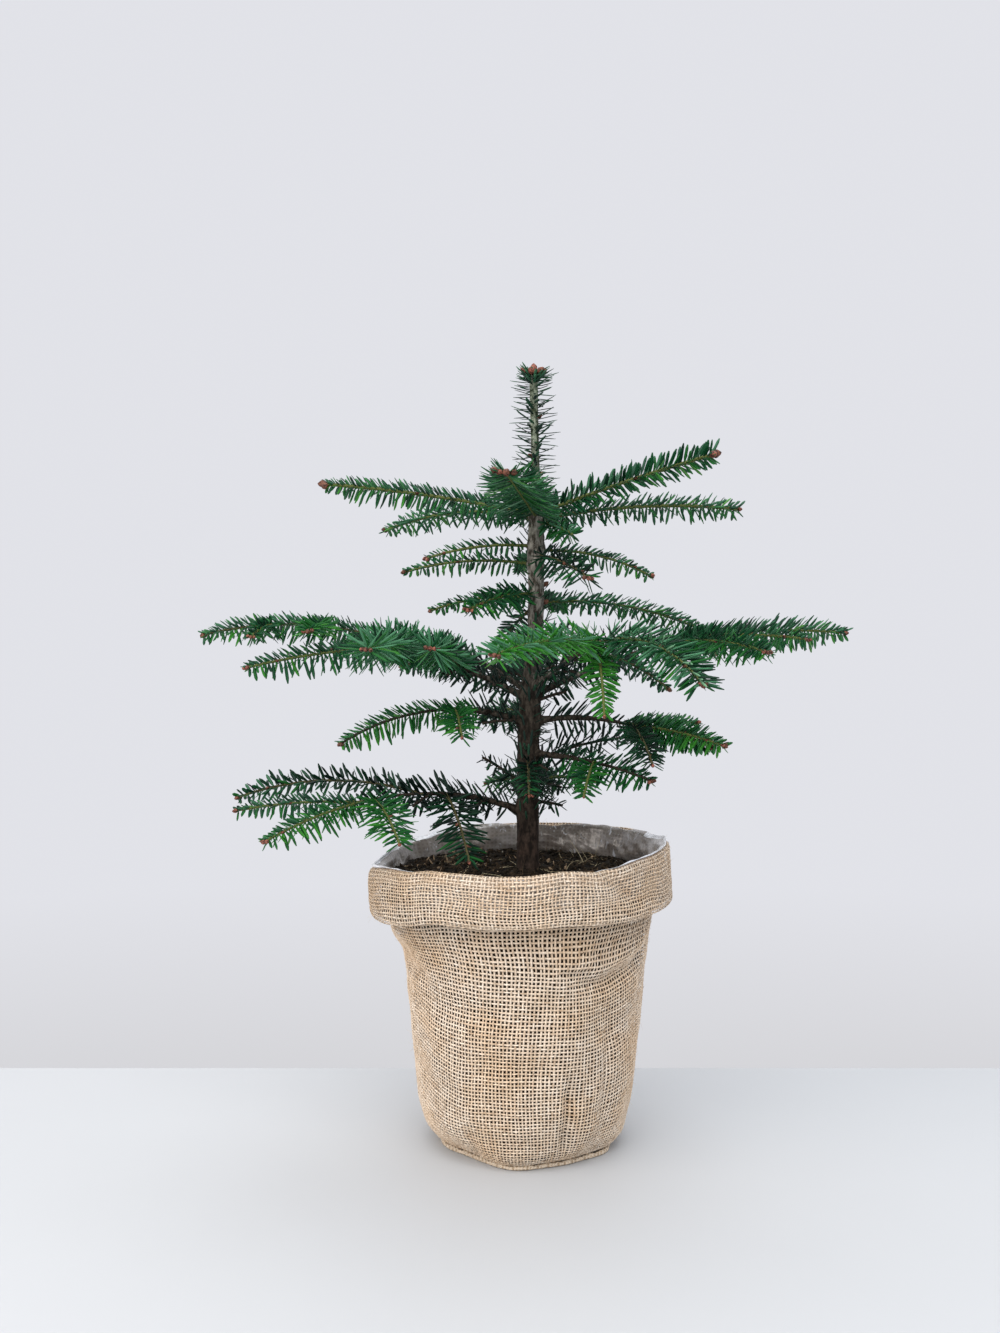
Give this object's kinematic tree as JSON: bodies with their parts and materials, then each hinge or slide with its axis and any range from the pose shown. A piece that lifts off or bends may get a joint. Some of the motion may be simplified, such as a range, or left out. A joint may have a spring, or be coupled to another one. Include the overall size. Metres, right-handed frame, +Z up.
{
  "type": "potted christmas tree",
  "caption": "Young fir with tiered boughs of flat needles, growing in soil in a burlap bag with a turned-down cuff and a film liner.",
  "frame": {"origin": "middle of the bag's flat underside, on the surface that it stands on", "axes": "+Z up along the trunk, -Y towards the side that the picture shows, +X to that view's right"},
  "size_m": [0.414, 0.3204, 0.4906],
  "materials": {
    "burlap": "matte, open plain weave",
    "film": "crinkled, slightly glossy",
    "soil": "matte, crumbly",
    "bark": "matte, fine ridges",
    "needles": "waxy"
  },
  "bodies": {
    "root": {"burlap_bag": "burlap", "film_liner": "film", "soil": "soil", "trunk": "bark", "leader_needles": "needles", "crown_back_foliage": "needles", "crown_front_foliage": "needles", "crown_front_stub_foliage": "needles", "crown_left_back_foliage": "needles", "crown_left_foliage": "needles", "crown_right_back_foliage": "needles", "crown_right_foliage": "needles", "second_back_foliage": "needles", "second_left_lower_foliage": "needles", "second_left_upper_foliage": "needles", "second_right_foliage": "needles", "second_right_front_foliage": "needles", "third_back_foliage": "needles", "third_hanging_foliage": "needles", "third_left_foliage": "needles", "third_left_front_foliage": "needles", "third_right_foliage": "needles", "main_back_bough": "bark", "main_back_foliage": "needles", "main_back_left_bough": "bark", "main_back_left_foliage": "needles", "main_far_bough": "bark", "main_far_foliage": "needles", "main_left_bough": "bark", "main_left_foliage": "needles", "main_right_bough": "bark", "main_right_foliage": "needles", "lower_back_bough": "bark", "lower_back_foliage": "needles", "lower_left_bough": "bark", "lower_left_foliage": "needles", "lower_right_bough": "bark", "lower_right_foliage": "needles", "lower_right_inner_foliage": "needles", "lower_right_low_bough": "bark", "lower_right_low_foliage": "needles", "lowest_back_bough": "bark", "lowest_back_foliage": "needles", "lowest_front_spray_foliage": "needles", "lowest_left_bough": "bark", "lowest_left_foliage": "needles"}
  },
  "joints": []
}
